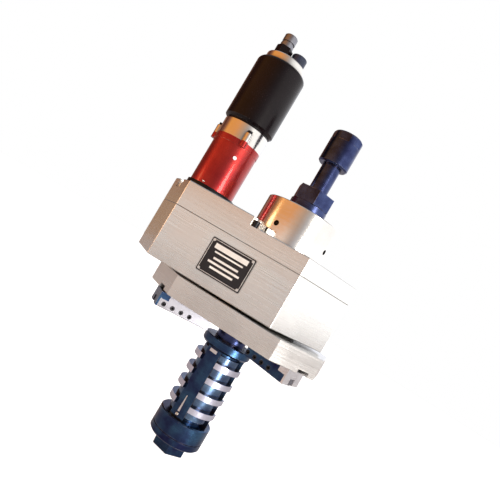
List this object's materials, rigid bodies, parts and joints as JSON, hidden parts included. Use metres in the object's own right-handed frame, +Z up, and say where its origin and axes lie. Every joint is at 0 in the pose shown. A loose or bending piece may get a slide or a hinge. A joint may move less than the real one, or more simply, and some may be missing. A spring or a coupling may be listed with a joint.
{
  "type": "pipe end preparation machine",
  "caption": "Portable air-driven machine with an expanding mandrel, a feed drum and a rotating plate of radial tool slides, for squaring and bevelling pipe ends.",
  "frame": {"origin": "middle of the lower guide ring, on the spindle axis", "axes": "+Z up the spindle axis towards the clamping knob, +X away from the air motor, -Y the front wall with the rating plate"},
  "size_m": [0.4518, 0.3089, 0.866],
  "materials": {
    "cast_silver": "satin machined",
    "blued_steel": "black oxide, semi gloss",
    "polished_steel": "polished",
    "ground_steel": "ground",
    "tool_carbide": "ground carbide",
    "gear_steel": "hobbed, oiled",
    "bearing_steel": "bright",
    "red_anodised": "anodised",
    "black_enamel": "gloss",
    "screw_black": "black oxide",
    "plate_black": "satin",
    "rivet_aluminium": "satin",
    "seal_rubber": "matt",
    "silencer_plastic": "matt",
    "vane_composite": "matt"
  },
  "bodies": {
    "mandrel": {"guide_ring": "blued_steel", "end_nut": "blued_steel", "mandrel_core": "blued_steel", "land_keys": "ground_steel", "mandrel_collar": "blued_steel", "mandrel_shaft": "blued_steel"},
    "draw_bar": {"draw_rod": "blued_steel", "draw_cones": "blued_steel"},
    "jaw_body_1": {"jaw_1": "blued_steel"},
    "jaw_body_2": {"jaw_2": "blued_steel"},
    "jaw_body_3": {"jaw_3": "blued_steel"},
    "knob": {"clamp_knob": "blued_steel"},
    "gearbox": {"gearbox_housing": "cast_silver", "motor_side_cover": "cast_silver", "spindle_side_cover": "cast_silver", "cover_screws": "screw_black", "lower_seal_plate": "seal_rubber", "rating_plate": "plate_black", "plate_rivets": "rivet_aluminium", "spindle_bearings": "bearing_steel", "idler_axle": "gear_steel", "reduction_housing": "red_anodised", "ring_gear_housing": "polished_steel", "lug_screws": "screw_black", "lock_ring": "black_enamel", "motor_housing": "black_enamel", "motor_liner": "gear_steel", "motor_end_plates": "gear_steel", "shaft_bearings": "bearing_steel", "motor_end_cap": "polished_steel", "inlet_hex_fitting": "black_enamel", "inlet_nipple": "ground_steel", "exhaust_silencer": "silencer_plastic", "housing_plug": "ground_steel", "thrust_ring": "gear_steel"},
    "feed": {"feed_drum": "polished_steel", "flanged_feed_nut": "blued_steel"},
    "head": {"spindle_quill": "gear_steel", "spindle_gear": "gear_steel", "tool_plate": "cast_silver"},
    "idler": {"idler_gear": "gear_steel"},
    "carrier": {"planet_carrier": "gear_steel", "drive_pinion": "gear_steel"},
    "planet_1": {"planet_gear_1": "gear_steel"},
    "planet_2": {"planet_gear_2": "gear_steel"},
    "planet_3": {"planet_gear_3": "gear_steel"},
    "rotor": {"motor_rotor": "gear_steel", "rotor_vanes": "vane_composite"},
    "tool_1": {"tool_slide_1": "ground_steel", "tool_screws_1": "screw_black", "tool_holder_1": "blued_steel", "tool_bit_1": "tool_carbide"},
    "tool_2": {"tool_slide_2": "blued_steel", "tool_screws_2": "screw_black", "tool_holder_2": "ground_steel", "tool_bit_2": "tool_carbide"},
    "tool_3": {"tool_slide_3": "blued_steel", "tool_screws_3": "screw_black", "tool_holder_3": "ground_steel", "tool_bit_3": "tool_carbide"}
  },
  "joints": [
    {"name": "draw_slide", "type": "slide", "parent": "mandrel", "child": "draw_bar", "axis": [0, 0, 1], "range_m": [0, 0.028]},
    {"name": "knob_turn", "type": "hinge", "parent": "mandrel", "child": "knob", "pos_m": [0, 0, 0.63], "axis": [0, 0, 1], "range_deg": [0, 2520]},
    {"name": "feed_slide", "type": "slide", "parent": "mandrel", "child": "gearbox", "axis": [0, 0, 1], "range_m": [-0.028, 0.015]},
    {"name": "feed_nut_turn", "type": "hinge", "parent": "gearbox", "child": "feed", "pos_m": [0, 0, 0.46], "axis": [0, 0, 1], "range_deg": [-2520, 1350]},
    {"name": "head_spin", "type": "hinge", "parent": "gearbox", "child": "head", "pos_m": [0, 0, 0.246], "axis": [0, 0, 1], "continuous": true},
    {"name": "idler_spin", "type": "hinge", "parent": "gearbox", "child": "idler", "pos_m": [-0.132, 0, 0.31], "axis": [0, 0, 1], "continuous": true},
    {"name": "carrier_spin", "type": "hinge", "parent": "gearbox", "child": "carrier", "pos_m": [-0.1995, 0, 0.31], "axis": [0, 0, 1], "continuous": true},
    {"name": "rotor_spin", "type": "hinge", "parent": "gearbox", "child": "rotor", "pos_m": [-0.1995, 0, 0.66], "axis": [0, 0, 1], "continuous": true},
    {"name": "jaw_1_slide", "type": "slide", "parent": "mandrel", "child": "jaw_body_1", "axis": [0.7314, -0.682, 0], "range_m": [0, 0.007]},
    {"name": "jaw_2_slide", "type": "slide", "parent": "mandrel", "child": "jaw_body_2", "axis": [0.225, 0.9744, 0], "range_m": [0, 0.007]},
    {"name": "jaw_3_slide", "type": "slide", "parent": "mandrel", "child": "jaw_body_3", "axis": [-0.9563, -0.2924, 0], "range_m": [0, 0.007]},
    {"name": "tool_1_slide", "type": "slide", "parent": "head", "child": "tool_1", "axis": [-0.848, -0.5299, 0], "range_m": [-0.005, 0.03]},
    {"name": "tool_2_slide", "type": "slide", "parent": "head", "child": "tool_2", "axis": [0.8829, -0.4695, 0], "range_m": [-0.005, 0.03]},
    {"name": "tool_3_slide", "type": "slide", "parent": "head", "child": "tool_3", "axis": [-0.0349, 0.9994, 0], "range_m": [-0.005, 0.03]},
    {"name": "planet_1_spin", "type": "hinge", "parent": "carrier", "child": "planet_1", "pos_m": [-0.1725, 0, 0.574], "axis": [0, 0, 1], "continuous": true},
    {"name": "planet_2_spin", "type": "hinge", "parent": "carrier", "child": "planet_2", "pos_m": [-0.213, 0.02338, 0.574], "axis": [0, 0, 1], "continuous": true},
    {"name": "planet_3_spin", "type": "hinge", "parent": "carrier", "child": "planet_3", "pos_m": [-0.213, -0.02338, 0.574], "axis": [0, 0, 1], "continuous": true}
  ],
  "couplings": [
    {"joint": "knob_turn", "follows": "draw_slide", "rad_per_m": 1570.8},
    {"joint": "feed_nut_turn", "follows": "feed_slide", "rad_per_m": 1570.8},
    {"joint": "idler_spin", "follows": "head_spin", "ratio": -2.1429},
    {"joint": "carrier_spin", "follows": "head_spin", "ratio": 3.5294},
    {"joint": "rotor_spin", "follows": "head_spin", "ratio": 14.118},
    {"joint": "jaw_1_slide", "follows": "draw_slide", "ratio": 0.25},
    {"joint": "jaw_2_slide", "follows": "draw_slide", "ratio": 0.25},
    {"joint": "jaw_3_slide", "follows": "draw_slide", "ratio": 0.25},
    {"joint": "planet_1_spin", "follows": "head_spin", "ratio": -10.588},
    {"joint": "planet_2_spin", "follows": "head_spin", "ratio": -10.588},
    {"joint": "planet_3_spin", "follows": "head_spin", "ratio": -10.588}
  ]
}
